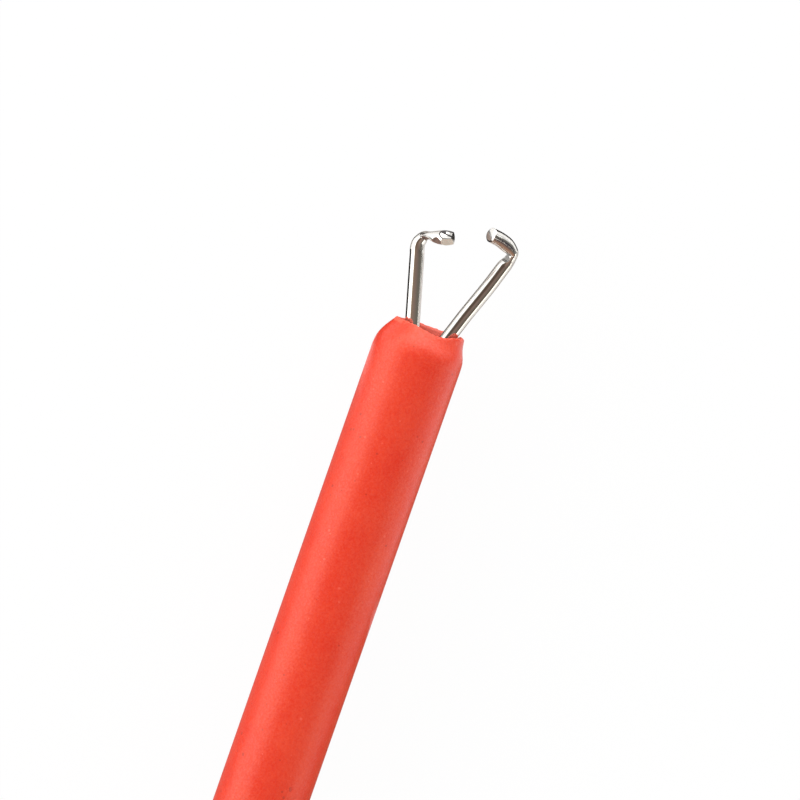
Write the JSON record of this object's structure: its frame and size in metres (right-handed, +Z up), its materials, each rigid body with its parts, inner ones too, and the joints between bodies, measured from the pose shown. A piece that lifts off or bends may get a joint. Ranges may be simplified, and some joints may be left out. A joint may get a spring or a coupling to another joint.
{
  "type": "grabber test hook",
  "caption": "Spring-wire test hook on a thin insulating sleeve with a winged handle: pressing the rear plunger pushes the hooked wire jaws out and open; a socket in its end takes a test lead.",
  "frame": {"origin": "centre of the box's underside, on the surface the tool rests on", "axes": "+X along the tool towards its jaws, +Y to the side of the shorter jaw, +Z up from the handle's lower flat"},
  "size_m": [0.1572, 0.027, 0.0115],
  "materials": {
    "sleeve": "matte, slightly speckled soft insulating tube",
    "moulding": "satin moulded plastic",
    "boot": "soft matte moulding",
    "dark_moulding": "low-friction satin moulding",
    "liner": "natural plastic tube",
    "jaw_wire": "bright plated spring wire",
    "steel": "drawn steel",
    "bare_brass": "turned brass",
    "plated_brass": "turned brass with bright plating"
  },
  "bodies": {
    "handle": {"shaft_sleeve": "sleeve", "tip_bush": "bare_brass", "guide_liner": "liner", "shaft_ferrule": "bare_brass", "strain_boot": "boot", "nose_cap": "moulding", "finger_guard": "moulding", "handle_barrel": "moulding", "rear_bush": "dark_moulding", "travel_pin": "steel", "spring_washer": "steel", "return_spring": "steel"},
    "plunger": {"plunger_body": "moulding", "contact_socket": "plated_brass", "socket_lock": "liner", "terminal_screw": "steel", "push_wire": "steel", "jaw_holder": "plated_brass", "jaw_tails": "jaw_wire"},
    "jaw_left": {"jaw_left": "jaw_wire"},
    "jaw_right": {"jaw_right": "jaw_wire"}
  },
  "joints": [
    {"name": "plunger_slide", "type": "slide", "parent": "handle", "child": "plunger", "axis": [1, 0, 0], "range_m": [-0.0036, 0], "stiffness_N_per_m": 300, "springref_m": -0.0066, "deforming": ["return_spring"]},
    {"name": "jaw_left_swing", "type": "hinge", "parent": "plunger", "child": "jaw_left", "pos_m": [0.07049, 0.00028, 0.00575], "axis": [0, 0, 1], "range_deg": [-14, 0]},
    {"name": "jaw_right_swing", "type": "hinge", "parent": "plunger", "child": "jaw_right", "pos_m": [0.07049, -0.00068, 0.00575], "axis": [0, 0, 1], "range_deg": [0, 16.9]}
  ],
  "couplings": [
    {"joint": "jaw_left_swing", "follows": "plunger_slide", "rad_per_m": 67.87},
    {"joint": "jaw_right_swing", "follows": "plunger_slide", "rad_per_m": -81.93}
  ]
}
